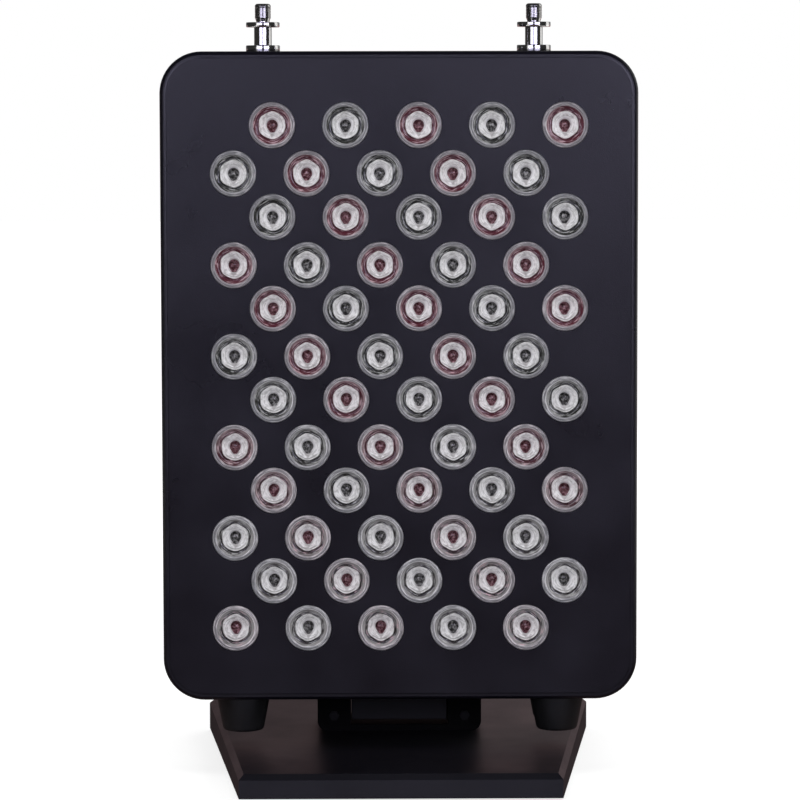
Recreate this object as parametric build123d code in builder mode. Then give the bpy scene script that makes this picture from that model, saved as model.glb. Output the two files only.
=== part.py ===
from build123d import *
import os
from math import atan2, cos, radians, sin

# Red light therapy panel on a tilting table stand, in millimetres.
# +X is to the right of the lit face, the face looks to -Y, +Z is up, and the
# origin is on the table under the middle of the base.

# Stand base, a folded steel tray over a ballast plate, with a top that drops
# a little to the front
base_front_width = 153.6
base_rear_width = 198.2
base_depth = 194.0
base_front_height = 12.3
base_rear_height = 16.8
base_wall = 1.5
base_fold_bevel = 2.6
ballast_thickness = 5.0
ballast_gap = 1.0
pad_width = 18.0
pad_length = 12.0
pad_inset = 17.0
pad_stand_out = 0.8

# Panel case, a deep pressed tray closed by a flat cover
panel_width = 228.0
panel_height = 311.4
panel_depth = 65.0
panel_corner_radius = 20.0
panel_lift = 41.9
panel_setback = 36.0
case_wall = 1.2
case_edge_bevel = 1.8
case_tab_width = 10.0
case_tab_height = 14.0

# Lens field, twelve staggered rows of five
lens_rows = 12
lens_columns = 5
lens_column_pitch = 34.9
lens_row_shift = 9.3
lens_pair_pitch = 43.65
lens_even_drop = 22.9
lens_radius = 11.0
lens_gap = 0.15
lens_stand_out = 0.6
lens_length = 12.0
lens_rim_depth = 2.5
lens_back_radius = 5.8
lens_sides = 10

# Light engine behind the lenses
emitter_size = 5.0
emitter_thickness = 1.6
board_side_margin = 16.0
board_end_margin = 13.7
board_thickness = 1.6
standoff_radius = 3.5
standoff_inset = 6.0
sink_side_inset = 6.0
sink_end_inset = 8.0
sink_base = 3.0
fin_height = 20.0
fin_thickness = 1.6
fin_count = 14

# Cooling fans on the back cover
fan_size = 80.0
fan_depth = 20.0
fan_sides = 24
fan_bore_radius = 37.5
fan_spacing = 96.0
fan_height = 226.0
fan_strut_width = 4.0
fan_strut_depth = 3.0
fan_seat_radius = 17.0
rotor_hub_radius = 16.0
rotor_hub_length = 14.0
rotor_tip_gap = 1.6
rotor_end_gap = 0.8
blade_count = 7
blade_chord = 17.0
blade_thickness = 1.3
blade_angle = 50.0
blade_root_bury = 1.0
spindle_radius = 1.5
spindle_length = 2.4
running_gap = 0.05

# Slotted air grille in front of each fan
slot_pitch = 8.0
slot_width = 3.6
slot_count = 9
grille_radius = 37.0

# Power supplies on the back cover
driver_side_inset = 24.0
driver_gap = 16.0
driver_height = 64.0
driver_depth = 22.0
driver_lift = 150.0
driver_corner = 3.0
terminal_width = 48.0
terminal_height = 16.0
terminal_depth = 14.0
terminal_lift = 96.0
terminal_poles = 6
terminal_groove = 1.2
terminal_groove_depth = 8.0

# Appliance inlet low on the back, at the left as seen from the front; its share
# is of the strip between the arm's plate and the panel's side
inlet_inset_share = 37 / 66
inlet_lift = 38.0
inlet_flange_width = 31.0
inlet_flange_height = 25.6
inlet_flange_depth = 2.5
inlet_flange_corner = 2.0
inlet_body_width = 27.6
inlet_body_height = 20.0
inlet_body_depth = 20.0
inlet_socket_width = 24.0
inlet_socket_height = 16.6
inlet_socket_depth = 16.0
inlet_socket_bevel = 4.0
inlet_pin_width = 2.0
inlet_pin_height = 4.0
inlet_pin_reach = 10.0
inlet_pin_spacing = 7.0
inlet_pin_drop = 2.0
cutout_gap = 0.2

# Two rocker switches low on the back, at the right as seen from the front, with
# a share of the same strip
switch_inset_share = 37 / 66
switch_lift = 38.0
switch_spacing = 34.0
switch_bezel_width = 15.0
switch_bezel_height = 21.0
switch_bezel_depth = 2.0
switch_ledge = 1.2
switch_wall = 1.3
switch_body_depth = 14.0
rocker_gap = 0.4
rocker_end_gap = 0.9
rocker_root = 2.0
rocker_root_share = 0.5
rocker_rise = 5.6
rocker_dish = 1.2
rocker_stand_out = 2.2
rocker_pivot_radius = 1.1
pivot_clearance = 0.3
pivot_sides = 8
rocker_pivot_reach = 0.9
rocker_throw = 7.0

# Hinge between stand and panel
hinge_setback = 86.0
hinge_height = 35.0
yoke_width = 82.0
yoke_ear_radius = 17.0
yoke_corner_radius = 5.0
yoke_slot_gap = 0.4
yoke_floor_gap = 2.0
knuckle_width = 48.0
knuckle_radius = 15.0
hinge_pin_radius = 5.0
pinch_slit = 1.2
pinch_drop = 12.5
pinch_head_radius = 2.6
pinch_head_depth = 1.2
pinch_shank_radius = 1.5
pinch_shank_length = 24.0

# Mounting plate of the tilt arm
arm_plate_width = 96.0
arm_plate_height = 60.0
arm_plate_thickness = 4.0
arm_plate_radius = 6.0
arm_plate_lift = 16.0
arm_web_start = 8.0
arm_web_height = 44.0
arm_web_turn = radians(50)
arm_screw_spacing_x = 75.0
arm_screw_spacing_z = 40.0

# Fasteners, drawn with flats so that the repeated ones stay light
screw_sides = 6
turned_sides = 16
screw_head_radius = 3.6
screw_head_height = 1.8
screw_shank_radius = 1.8
screw_hole_gap = 0.1
screw_reach = 3.0
cover_screw_inset = 6.0
cover_screw_rise = 112.0
yoke_screw_radius = 2.5
yoke_screw_head_radius = 4.6
yoke_screw_head_height = 2.5
yoke_screw_reach = 4.5
yoke_screw_y = 9.0

# Hanging studs on the top edge, turned from stainless bar
stud_spacing = 131.0
stud_flange_radius = 8.2
stud_flange_height = 3.2
stud_shank_radius = 4.25
stud_collar_radius = 8.1
stud_collar_base = 11.9
stud_collar_height = 2.4
stud_neck_radius = 3.2
stud_thread_radius = 3.9
stud_thread_base = 16.2
stud_height = 23.2
stud_root_radius = 3.0
stud_root_length = 7.0
stud_nut_radius = 5.6
stud_nut_height = 4.0

# Rubber feet under the panel
foot_inset = 37.75
foot_front_setback = 18.0
foot_rear_setback = 50.0
foot_top_radius = 12.9
foot_bottom_radius = 10.3
foot_height = 17.0
foot_band = 2.0
foot_sides = 20

# Places worked out from the sizes above
face_y = panel_setback - base_depth / 2
back_y = face_y + panel_depth
panel_z = panel_lift + panel_height / 2
panel_top = panel_lift + panel_height
cover_y = back_y - case_wall
wall_back_y = face_y + case_wall
emitter_y = face_y - lens_stand_out + lens_length
board_y = emitter_y + emitter_thickness
sink_y = board_y + board_thickness
hinge_y = face_y + hinge_setback
hinge_z = hinge_height
middle_y = face_y + panel_depth / 2
lens_hole_radius = lens_radius + lens_gap
base_slope = atan2(base_rear_height - base_front_height, base_depth)
deck = Plane(
    origin=(0, 0, (base_front_height + base_rear_height) / 2),
    x_dir=(1, 0, 0),
    z_dir=(0, -sin(base_slope), cos(base_slope)),
)
deck_underside = deck.offset(-base_wall)
ballast_underside = deck_underside.offset(-ballast_thickness)
base_corners = [
    (-base_front_width / 2, -base_depth / 2),
    (base_front_width / 2, -base_depth / 2),
    (base_rear_width / 2, base_depth / 2),
    (-base_rear_width / 2, base_depth / 2),
]
pad_spots = [
    (side * (width / 2 - pad_inset), end * (base_depth / 2 - pad_inset))
    for end, width in ((-1, base_front_width), (1, base_rear_width))
    for side in (-1, 1)
]
board_width = panel_width - 2 * board_side_margin
board_height = panel_height - 2 * board_end_margin
sink_width = board_width - 2 * sink_side_inset
sink_height = board_height - 2 * sink_end_inset
yoke_slot_width = knuckle_width + 2 * yoke_slot_gap
yoke_floor_z = hinge_z - knuckle_radius - yoke_floor_gap
ear_width = (yoke_width - yoke_slot_width) / 2
ear_x = (yoke_width - ear_width) / 2
pinch_spots = [(side * ear_x, hinge_z - pinch_drop) for side in (-1, 1)]
yoke_screw_spots = [
    (side * ear_x, hinge_y + end * yoke_screw_y) for side in (-1, 1) for end in (-1, 1)
]
arm_web_back = (
    hinge_y + knuckle_radius * cos(arm_web_turn),
    hinge_z + knuckle_radius * sin(arm_web_turn),
)
arm_nose_y = hinge_y - knuckle_radius
arm_nose_z = hinge_z - knuckle_radius
arm_plate_z = hinge_z + arm_plate_lift + arm_plate_height / 2
arm_screw_spots = [
    (side * arm_screw_spacing_x / 2, arm_plate_z + level * arm_screw_spacing_z / 2)
    for side in (-1, 1)
    for level in (-1, 1)
]
standoff_spots = [
    (side * (board_width / 2 - standoff_inset), panel_z + level * (board_height / 2 - standoff_inset))
    for side in (-1, 1)
    for level in (-1, 0, 1)
]
rotor_root_radius = rotor_hub_radius * cos(radians(180 / turned_sides)) - blade_root_bury
rotor_tip_radius = fan_bore_radius - rotor_tip_gap
driver_width = (panel_width - 2 * driver_side_inset - driver_gap) / 2
driver_spacing = driver_width + driver_gap
driver_z = panel_lift + driver_lift
terminal_z = panel_lift + terminal_lift
side_strip = (panel_width - arm_plate_width) / 2
inlet_x = inlet_inset_share * side_strip - panel_width / 2
inlet_z = panel_lift + inlet_lift
socket_floor_y = back_y + inlet_flange_depth - inlet_socket_depth
switch_x = panel_width / 2 - switch_inset_share * side_strip
switch_spots = [
    (switch_x, panel_lift + switch_lift + level * switch_spacing / 2) for level in (1, -1)
]
switch_body_width = switch_bezel_width - 2 * switch_ledge
switch_body_height = switch_bezel_height - 2 * switch_ledge
switch_opening_width = switch_body_width - 2 * switch_wall
switch_opening_height = switch_body_height - 2 * switch_wall
rocker_width = switch_opening_width - 2 * rocker_gap
rocker_length = switch_opening_height - 2 * rocker_end_gap
rocker_pivot_y = back_y + switch_bezel_depth + rocker_stand_out - rocker_rise
pivot_stub_half = switch_opening_width / 2 + rocker_pivot_reach
pivot_bore_half = pivot_stub_half + cutout_gap
pivot_bore_radius = rocker_pivot_radius + pivot_clearance
stud_spots = [(side * stud_spacing / 2, middle_y) for side in (-1, 1)]
stud_collar_top = stud_collar_base + stud_collar_height
stud_steps = [
    (stud_root_radius, -stud_root_length, 0),
    (stud_flange_radius, 0, stud_flange_height),
    (stud_shank_radius, stud_flange_height, stud_collar_base),
    (stud_collar_radius, stud_collar_base, stud_collar_top),
    (stud_neck_radius, stud_collar_top, stud_thread_base),
]
foot_spots = [
    (side * (panel_width / 2 - foot_inset), face_y + setback, panel_lift - foot_height)
    for side in (-1, 1)
    for setback in (foot_front_setback, foot_rear_setback)
]


def upright(y, z=0.0, x=0.0):
    """A plane that looks to the front, with X to the right and Z up."""
    return Plane(origin=(x, y, z), x_dir=(1, 0, 0), z_dir=(0, -1, 0))


def sideways(x):
    """A plane that looks to the right, with Y along and Z up."""
    return Plane(origin=(x, 0, 0), x_dir=(0, 1, 0), z_dir=(1, 0, 0))


def write(piece, name):
    """Label a finished piece and write it as one STEP file."""
    piece.part.label = name
    export_step(piece.part, f"parts/{name}.step")


def lens_places():
    """Centres of the lenses on the face, each with a mark for a red emitter."""
    field_height = (lens_rows / 2 - 1) * lens_pair_pitch + lens_even_drop
    places = []
    for row in range(lens_rows):
        pair = row // 2
        lower = row % 2
        z = panel_z + field_height / 2 - pair * lens_pair_pitch - lower * lens_even_drop
        shift = lens_row_shift * (1 - 2 * lower)
        red_start = 0 if row % 4 in (0, 3) else 1
        for column in range(lens_columns):
            x = (column - (lens_columns - 1) / 2) * lens_column_pitch + shift
            places.append((x, z, column % 2 == red_start))
    return places


def spots(red):
    """Lens centres of one emitter colour."""
    return [(x, z) for x, z, is_red in lens_places() if is_red == red]


all_spots = spots(True) + spots(False)
fan_centres = [(side * fan_spacing / 2, panel_lift + fan_height) for side in (-1, 1)]
cover_levels = [panel_z + level * cover_screw_rise for level in (-1, 0, 1)]
cover_screw_spots = [
    (side * (panel_width / 2 - cover_screw_inset), z) for side in (-1, 1) for z in cover_levels
]
case_tab_spots = [
    (side * (panel_width - case_wall - case_tab_width) / 2, z) for side in (-1, 1) for z in cover_levels
]


def screws(y, centres, shank_radius, head_radius, head_height, reach, outward=1):
    """Screws along Y with their heads on the plane at y, looking outward."""
    with BuildPart() as group:
        with BuildSketch(upright(y)):
            with Locations(*centres):
                RegularPolygon(head_radius, screw_sides)
        extrude(amount=-outward * head_height)
        with BuildSketch(upright(y)):
            with Locations(*centres):
                RegularPolygon(shank_radius, screw_sides)
        extrude(amount=outward * reach)
    return group


os.makedirs("parts", exist_ok=True)

# Base tray: a trapezium with a sloping top and bevelled folds, open underneath
with BuildPart() as base_shell:
    with BuildSketch(Plane.XY.offset(pad_stand_out)):
        Polygon(*base_corners, align=None)
    extrude(amount=base_rear_height)
    split(bisect_by=deck, keep=Keep.BOTTOM)
    chamfer(faces().sort_by(Axis.Z)[-1].edges(), base_fold_bevel)
    offset(amount=-base_wall, openings=faces().sort_by(Axis.Z)[0])
    with BuildSketch(deck_underside):
        with Locations(*yoke_screw_spots):
            RegularPolygon(yoke_screw_radius + screw_hole_gap, screw_sides)
    extrude(amount=base_wall, mode=Mode.SUBTRACT)
write(base_shell, "base_shell")

# Ballast plate bolted up under the tray
with BuildPart() as ballast_plate:
    with BuildSketch(ballast_underside):
        Polygon(*base_corners, align=None)
        offset(amount=-(base_fold_bevel + ballast_gap), kind=Kind.INTERSECTION)
        with Locations(*yoke_screw_spots):
            RegularPolygon(
                yoke_screw_radius + screw_hole_gap, screw_sides, mode=Mode.SUBTRACT
            )
    extrude(amount=ballast_thickness)
write(ballast_plate, "ballast_plate")

# Rubber pads under the ballast plate, standing a little below the tray
with BuildPart() as base_pads:
    with BuildSketch(Plane.XY):
        with Locations(*pad_spots):
            Rectangle(pad_width, pad_length)
    extrude(amount=base_rear_height)
    split(bisect_by=ballast_underside, keep=Keep.BOTTOM)
write(base_pads, "base_pads")

# Hinge yoke: a cast block with two ears, split below the pin so that the
# pinch screws can close the ears on it
with BuildPart() as hinge_yoke:
    with BuildSketch(sideways(-yoke_width / 2)):
        with Locations((hinge_y, hinge_z)):
            Circle(yoke_ear_radius)
        with Locations((hinge_y, hinge_z / 2)):
            Rectangle(2 * yoke_ear_radius, hinge_z)
    extrude(amount=yoke_width)
    split(bisect_by=deck, keep=Keep.TOP)
    lower_edges = faces().sort_by(Axis.Z)[0].edges().filter_by(Axis.X, reverse=True)
    fillet(lower_edges, yoke_corner_radius)
    with BuildSketch(upright(hinge_y - yoke_ear_radius)):
        with Locations((0, yoke_floor_z)):
            Rectangle(
                yoke_slot_width,
                yoke_ear_radius + hinge_z,
                align=(Align.CENTER, Align.MIN),
            )
    extrude(amount=-2 * yoke_ear_radius, mode=Mode.SUBTRACT)
    with BuildSketch(sideways(-yoke_width / 2)):
        with Locations((hinge_y, hinge_z)):
            Circle(hinge_pin_radius + running_gap)
    extrude(amount=yoke_width, mode=Mode.SUBTRACT)
    with BuildSketch(Plane.XY.offset(yoke_floor_z)):
        with Locations(*[(x, hinge_y) for x, z in pinch_spots]):
            Rectangle(ear_width, pinch_slit)
    extrude(amount=hinge_z - yoke_floor_z, mode=Mode.SUBTRACT)
    with BuildSketch(upright(hinge_y - yoke_ear_radius)):
        with Locations(*pinch_spots):
            RegularPolygon(pinch_shank_radius + screw_hole_gap, screw_sides)
    extrude(amount=-(pinch_shank_length + screw_hole_gap), mode=Mode.SUBTRACT)
    with BuildSketch(deck):
        with Locations(*yoke_screw_spots):
            RegularPolygon(yoke_screw_radius + screw_hole_gap, screw_sides)
    extrude(amount=yoke_screw_reach + screw_hole_gap, mode=Mode.SUBTRACT)
write(hinge_yoke, "hinge_yoke")

# Screws up through ballast, tray and yoke
with BuildPart() as yoke_screws:
    with BuildSketch(ballast_underside):
        with Locations(*yoke_screw_spots):
            RegularPolygon(yoke_screw_head_radius, screw_sides)
    extrude(amount=-yoke_screw_head_height)
    with BuildSketch(ballast_underside):
        with Locations(*yoke_screw_spots):
            RegularPolygon(yoke_screw_radius, screw_sides)
    extrude(amount=ballast_thickness + base_wall + yoke_screw_reach)
write(yoke_screws, "yoke_screws")

pinch_screws = screws(
    hinge_y - yoke_ear_radius,
    pinch_spots,
    pinch_shank_radius,
    pinch_head_radius,
    pinch_head_depth,
    pinch_shank_length,
    -1,
)
write(pinch_screws, "pinch_screws")

# Hinge pin held in the ears, with the arm turning on its middle
with BuildPart() as hinge_pin:
    with BuildSketch(sideways(-yoke_width / 2)):
        with Locations((hinge_y, hinge_z)):
            Circle(hinge_pin_radius)
    extrude(amount=yoke_width)
write(hinge_pin, "hinge_pin")

# Tilt arm: knuckle with a square nose, web and mounting plate in one casting
with BuildPart() as tilt_arm:
    with BuildSketch(sideways(-knuckle_width / 2)):
        with Locations((hinge_y, hinge_z)):
            Circle(knuckle_radius)
        Polygon(
            (back_y, hinge_z + arm_web_start),
            (back_y, hinge_z + arm_web_height),
            (back_y + arm_plate_thickness, hinge_z + arm_web_height),
            arm_web_back,
            (hinge_y, hinge_z),
            (hinge_y, arm_nose_z),
            (arm_nose_y, arm_nose_z),
            (arm_nose_y, hinge_z),
            align=None,
        )
    extrude(amount=knuckle_width)
    with BuildSketch(upright(back_y)):
        with Locations((0, arm_plate_z)):
            RectangleRounded(arm_plate_width, arm_plate_height, arm_plate_radius)
    extrude(amount=-arm_plate_thickness)
    with BuildSketch(upright(back_y)):
        with Locations(*arm_screw_spots):
            RegularPolygon(screw_shank_radius + screw_hole_gap, screw_sides)
    extrude(amount=-arm_plate_thickness, mode=Mode.SUBTRACT)
    with BuildSketch(sideways(-knuckle_width / 2)):
        with Locations((hinge_y, hinge_z)):
            Circle(hinge_pin_radius + running_gap)
    extrude(amount=knuckle_width, mode=Mode.SUBTRACT)
write(tilt_arm, "tilt_arm")

arm_screws = screws(
    back_y + arm_plate_thickness,
    arm_screw_spots,
    screw_shank_radius,
    screw_head_radius,
    screw_head_height,
    arm_plate_thickness + case_wall + screw_reach,
)
write(arm_screws, "arm_screws")

# Front housing: face, eased edge and side walls pressed from one sheet, with
# tabs at the back that carry the cover
with BuildPart() as front_housing:
    with BuildSketch(upright(face_y, panel_z)):
        RectangleRounded(panel_width, panel_height, panel_corner_radius)
    extrude(amount=-(panel_depth - case_wall))
    chamfer(faces().sort_by(Axis.Y)[0].edges(), case_edge_bevel)
    with BuildSketch(upright(wall_back_y, panel_z)):
        RectangleRounded(
            panel_width - 2 * case_wall,
            panel_height - 2 * case_wall,
            panel_corner_radius - case_wall,
        )
    extrude(amount=-(cover_y - wall_back_y), mode=Mode.SUBTRACT)
    with BuildSketch(upright(cover_y)):
        with Locations(*case_tab_spots):
            Rectangle(case_tab_width, case_tab_height)
    extrude(amount=case_wall)
    with BuildSketch(upright(face_y)):
        with Locations(*all_spots):
            RegularPolygon(lens_hole_radius, lens_sides)
    extrude(amount=-case_wall, mode=Mode.SUBTRACT)
    with BuildSketch(upright(cover_y)):
        with Locations(*cover_screw_spots):
            RegularPolygon(screw_shank_radius + screw_hole_gap, screw_sides)
    extrude(amount=case_wall, mode=Mode.SUBTRACT)
    with BuildSketch(Plane.XY.offset(panel_top)):
        with Locations(*stud_spots):
            RegularPolygon(stud_root_radius + screw_hole_gap, turned_sides)
    extrude(amount=-case_wall, mode=Mode.SUBTRACT)
write(front_housing, "front_housing")

# Back cover with the fan grilles, the inlet and switch cut-outs
with BuildPart() as back_cover:
    with BuildSketch(upright(cover_y)):
        with Locations((0, panel_z)):
            RectangleRounded(panel_width, panel_height, panel_corner_radius)
        with Locations(*cover_screw_spots, *arm_screw_spots):
            RegularPolygon(screw_shank_radius + screw_hole_gap, screw_sides, mode=Mode.SUBTRACT)
        with Locations((inlet_x, inlet_z)):
            Rectangle(
                inlet_body_width + 2 * cutout_gap,
                inlet_body_height + 2 * cutout_gap,
                mode=Mode.SUBTRACT,
            )
        with Locations(*switch_spots):
            Rectangle(
                switch_body_width + 2 * cutout_gap,
                switch_body_height + 2 * cutout_gap,
                mode=Mode.SUBTRACT,
            )
        for x, z in fan_centres:
            for step in range(slot_count):
                rise = (step - (slot_count - 1) / 2) * slot_pitch
                reach = (grille_radius**2 - rise**2) ** 0.5
                with Locations((x, z + rise)):
                    Rectangle(2 * reach, slot_width, mode=Mode.SUBTRACT)
    extrude(amount=-case_wall)
write(back_cover, "back_cover")

cover_screws = screws(
    back_y,
    cover_screw_spots,
    screw_shank_radius,
    screw_head_radius,
    screw_head_height,
    2 * case_wall + screw_reach,
)
write(cover_screws, "cover_screws")


# One collimator lens: a rim that fills its opening in the face and a cone
# that narrows back to the emitter
with BuildPart() as lens:
    with BuildSketch(upright(face_y - lens_stand_out)):
        RegularPolygon(lens_radius, lens_sides)
    extrude(amount=-lens_length)
    lens_back = faces().sort_by(Axis.Y)[-1]
    chamfer(
        lens_back.edges(),
        length=lens_radius - lens_back_radius,
        length2=lens_length - lens_rim_depth,
        reference=lens_back,
    )


def lens_set(places):
    """Copies of the lens at one colour's places."""
    with BuildPart() as lenses:
        with Locations(*[(x, 0, z) for x, z in places]):
            add(lens.part)
    return lenses


write(lens_set(spots(True)), "red_lenses")
write(lens_set(spots(False)), "infrared_lenses")


def emitter_set(places):
    """Square emitters on the board, one behind each lens."""
    with BuildPart() as emitters:
        with BuildSketch(upright(emitter_y)):
            with Locations(*places):
                Rectangle(emitter_size, emitter_size)
        extrude(amount=-emitter_thickness)
    return emitters


write(emitter_set(spots(True)), "red_emitters")
write(emitter_set(spots(False)), "infrared_emitters")

# Metal-core board that carries the emitters
with BuildPart() as emitter_board:
    with BuildSketch(upright(board_y, panel_z)):
        Rectangle(board_width, board_height)
    extrude(amount=-board_thickness)
write(emitter_board, "emitter_board")

# Hexagonal standoffs from the face to the board
with BuildPart() as board_standoffs:
    with BuildSketch(upright(wall_back_y)):
        with Locations(*standoff_spots):
            RegularPolygon(standoff_radius, screw_sides)
    extrude(amount=-(board_y - wall_back_y))
write(board_standoffs, "board_standoffs")

# Extruded heat sink with upright fins behind the board
with BuildPart() as heat_sink:
    with BuildSketch(Plane.XY.offset(panel_z - sink_height / 2)):
        with Locations((0, sink_y + sink_base / 2)):
            Rectangle(sink_width, sink_base)
        with Locations((0, sink_y + sink_base + fin_height / 2)):
            with GridLocations((sink_width - fin_thickness) / (fin_count - 1), 0, fin_count, 1):
                Rectangle(fin_thickness, fin_height)
    extrude(amount=sink_height)
write(heat_sink, "heat_sink")

# Fan frames on the back cover, each with a seat for its spindle on four struts
with BuildPart() as fan_frames:
    with BuildSketch(upright(cover_y)):
        with Locations(*fan_centres):
            Rectangle(fan_size, fan_size)
            RegularPolygon(fan_bore_radius, fan_sides, mode=Mode.SUBTRACT)
    extrude(amount=fan_depth)
    with BuildSketch(upright(cover_y)):
        with Locations(*fan_centres):
            Rectangle(2 * fan_bore_radius + fan_strut_width, fan_strut_width, rotation=45)
            Rectangle(2 * fan_bore_radius + fan_strut_width, fan_strut_width, rotation=-45)
            RegularPolygon(fan_seat_radius, turned_sides)
            RegularPolygon(spindle_radius + pivot_clearance, pivot_sides, mode=Mode.SUBTRACT)
    extrude(amount=fan_strut_depth)
write(fan_frames, "fan_frames")


def fan_rotor(x, z):
    """Hub, spindle and pitched blades of one fan."""
    hub_back = cover_y - fan_strut_depth - rotor_end_gap
    middle = hub_back - rotor_hub_length / 2
    with BuildPart() as rotor:
        with BuildSketch(upright(hub_back, z, x)):
            RegularPolygon(rotor_hub_radius, turned_sides)
        extrude(amount=rotor_hub_length)
        with BuildSketch(upright(hub_back, z, x)):
            RegularPolygon(spindle_radius, pivot_sides)
        extrude(amount=-(rotor_end_gap + spindle_length))
        for blade in range(blade_count):
            turn = radians(blade * 360 / blade_count)
            out = (cos(turn), 0, sin(turn))
            root = (x + rotor_root_radius * out[0], middle, z + rotor_root_radius * out[2])
            with BuildSketch(Plane(origin=root, x_dir=(0, 1, 0), z_dir=out)):
                Rectangle(blade_chord, blade_thickness, rotation=blade_angle)
            extrude(amount=rotor_tip_radius - rotor_root_radius)
    return rotor


for side, (fan_x, fan_z) in zip(("left", "right"), fan_centres):
    write(fan_rotor(fan_x, fan_z), f"fan_rotor_{side}")


def driver(x):
    """Sealed power supply with two bevelled long edges."""
    with BuildPart() as supply:
        with BuildSketch(upright(cover_y, driver_z, x)):
            Rectangle(driver_width, driver_height)
        extrude(amount=driver_depth)
        chamfer(faces().sort_by(Axis.Y)[0].edges().filter_by(Axis.X), driver_corner)
    return supply


for side, sign in (("left", -1), ("right", 1)):
    write(driver(sign * driver_spacing / 2), f"driver_{side}")

# Terminal block between inlet, switches and drivers
with BuildPart() as terminal_block:
    with BuildSketch(upright(cover_y, terminal_z)):
        Rectangle(terminal_width, terminal_height)
    extrude(amount=terminal_depth)
    with BuildSketch(upright(cover_y - terminal_depth, terminal_z)):
        with GridLocations(terminal_width / terminal_poles, 0, terminal_poles - 1, 1):
            Rectangle(terminal_groove, terminal_height)
    extrude(amount=-terminal_groove_depth, mode=Mode.SUBTRACT)
write(terminal_block, "terminal_block")

# Appliance inlet with its keyed socket
with BuildPart() as power_inlet:
    with BuildSketch(upright(back_y, inlet_z, inlet_x)):
        Rectangle(inlet_flange_width, inlet_flange_height)
        chamfer(vertices(), inlet_flange_corner)
    extrude(amount=-inlet_flange_depth)
    with BuildSketch(upright(back_y, inlet_z, inlet_x)):
        Rectangle(inlet_body_width, inlet_body_height)
    extrude(amount=inlet_body_depth)
    with BuildSketch(upright(back_y + inlet_flange_depth, inlet_z, inlet_x)):
        Rectangle(inlet_socket_width, inlet_socket_height)
        chamfer(vertices().group_by(Axis.Z)[-1], inlet_socket_bevel)
    extrude(amount=inlet_socket_depth, mode=Mode.SUBTRACT)
write(power_inlet, "power_inlet")

# Contact blades standing in the socket
with BuildPart() as inlet_pins:
    with BuildSketch(upright(socket_floor_y, inlet_z, inlet_x)):
        with Locations(
            (-inlet_pin_spacing, -inlet_pin_drop),
            (0, inlet_pin_drop),
            (inlet_pin_spacing, -inlet_pin_drop),
        ):
            Rectangle(inlet_pin_width, inlet_pin_height)
    extrude(amount=-inlet_pin_reach)
write(inlet_pins, "inlet_pins")

# Switch bodies: bezel outside the cover, open box behind it
with BuildPart() as switch_bodies:
    with BuildSketch(upright(back_y)):
        with Locations(*switch_spots):
            Rectangle(switch_bezel_width, switch_bezel_height)
    extrude(amount=-switch_bezel_depth)
    with BuildSketch(upright(back_y)):
        with Locations(*switch_spots):
            Rectangle(switch_body_width, switch_body_height)
    extrude(amount=switch_body_depth)
    with BuildSketch(upright(back_y + switch_bezel_depth)):
        with Locations(*switch_spots):
            Rectangle(switch_opening_width, switch_opening_height)
    extrude(amount=switch_bezel_depth + switch_body_depth - switch_wall, mode=Mode.SUBTRACT)
    with BuildSketch(sideways(switch_x - pivot_bore_half)):
        with Locations(*[(rocker_pivot_y, z) for x, z in switch_spots]):
            RegularPolygon(pivot_bore_radius, pivot_sides)
    extrude(amount=2 * pivot_bore_half, mode=Mode.SUBTRACT)
write(switch_bodies, "switch_bodies")


def rocker(z):
    """Dished rocker on two stub pivots, tipped to its off side."""
    half = rocker_length / 2
    with BuildPart() as key:
        with BuildSketch(sideways(switch_x - rocker_width / 2)):
            Polygon(
                (-rocker_root, -half * rocker_root_share),
                (-rocker_root, half * rocker_root_share),
                (0, half),
                (rocker_rise, half),
                (rocker_rise - rocker_dish, 0),
                (rocker_rise, -half),
                (0, -half),
                align=None,
            )
        extrude(amount=rocker_width)
        with BuildSketch(sideways(switch_x - pivot_stub_half)):
            RegularPolygon(rocker_pivot_radius, pivot_sides)
        extrude(amount=2 * pivot_stub_half)
    tipped = key.part.rotate(Axis.X, -rocker_throw)
    with BuildPart() as placed:
        with Locations((0, rocker_pivot_y, z)):
            add(tipped)
    return placed


for colour, (x, z) in zip(("red", "infrared"), switch_spots):
    write(rocker(z), f"rocker_{colour}")

# Hanging studs, each turned in one piece with its flange and collar
with BuildPart() as hanging_studs:
    for radius, low, high in stud_steps:
        with BuildSketch(Plane.XY.offset(panel_top + low)):
            with Locations(*stud_spots):
                RegularPolygon(radius, turned_sides)
        extrude(amount=high - low)
    with BuildSketch(Plane.XY.offset(panel_top + stud_thread_base)):
        with Locations(*stud_spots):
            Circle(stud_thread_radius)
    extrude(amount=stud_height - stud_thread_base)
write(hanging_studs, "hanging_studs")

# Nuts that hold the studs from inside the case
with BuildPart() as stud_nuts:
    with BuildSketch(Plane.XY.offset(panel_top - case_wall)):
        with Locations(*stud_spots):
            RegularPolygon(stud_nut_radius, screw_sides)
            RegularPolygon(stud_root_radius + screw_hole_gap, turned_sides, mode=Mode.SUBTRACT)
    extrude(amount=-stud_nut_height)
write(stud_nuts, "stud_nuts")

# Tapered rubber feet under the case
with BuildPart() as foot:
    with BuildSketch(Plane.XY):
        RegularPolygon(foot_top_radius, foot_sides)
    extrude(amount=foot_height)
    foot_sole = faces().sort_by(Axis.Z)[0]
    chamfer(
        foot_sole.edges(),
        length=foot_top_radius - foot_bottom_radius,
        length2=foot_height - foot_band,
        reference=foot_sole,
    )

with BuildPart() as panel_feet:
    with Locations(*foot_spots):
        add(foot.part)
write(panel_feet, "panel_feet")
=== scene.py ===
from math import atan2, cos, hypot, pi, radians, sin

import bmesh
import bpy
from mathutils import Matrix, Vector


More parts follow.
